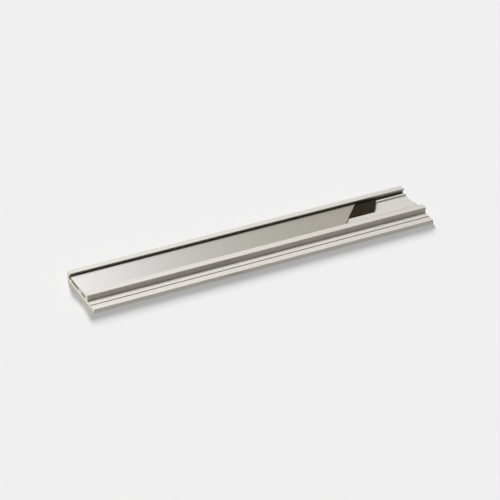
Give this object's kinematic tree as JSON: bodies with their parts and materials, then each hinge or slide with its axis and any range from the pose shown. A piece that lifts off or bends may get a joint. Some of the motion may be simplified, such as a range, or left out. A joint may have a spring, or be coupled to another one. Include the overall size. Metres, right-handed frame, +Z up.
{
  "type": "aluminium profile with cover strip",
  "caption": "Low extruded aluminium profile with a grooved flange and a ribbed, lipped channel, in which a flat cover strip lies over a thin black backing strip.",
  "frame": {"origin": "middle of the flat underside, halfway along the length and across the width", "axes": "+X along the length towards the strips' cut ends, +Y from the flange to the back wall, +Z up"},
  "size_m": [0.2, 0.0344, 0.0055],
  "materials": {
    "base_profile": "satin",
    "cover_strip": "satin",
    "backing_strip": "matte"
  },
  "bodies": {
    "root": {"base_profile": "base_profile", "cover_strip": "cover_strip", "backing_strip": "backing_strip"}
  },
  "joints": []
}
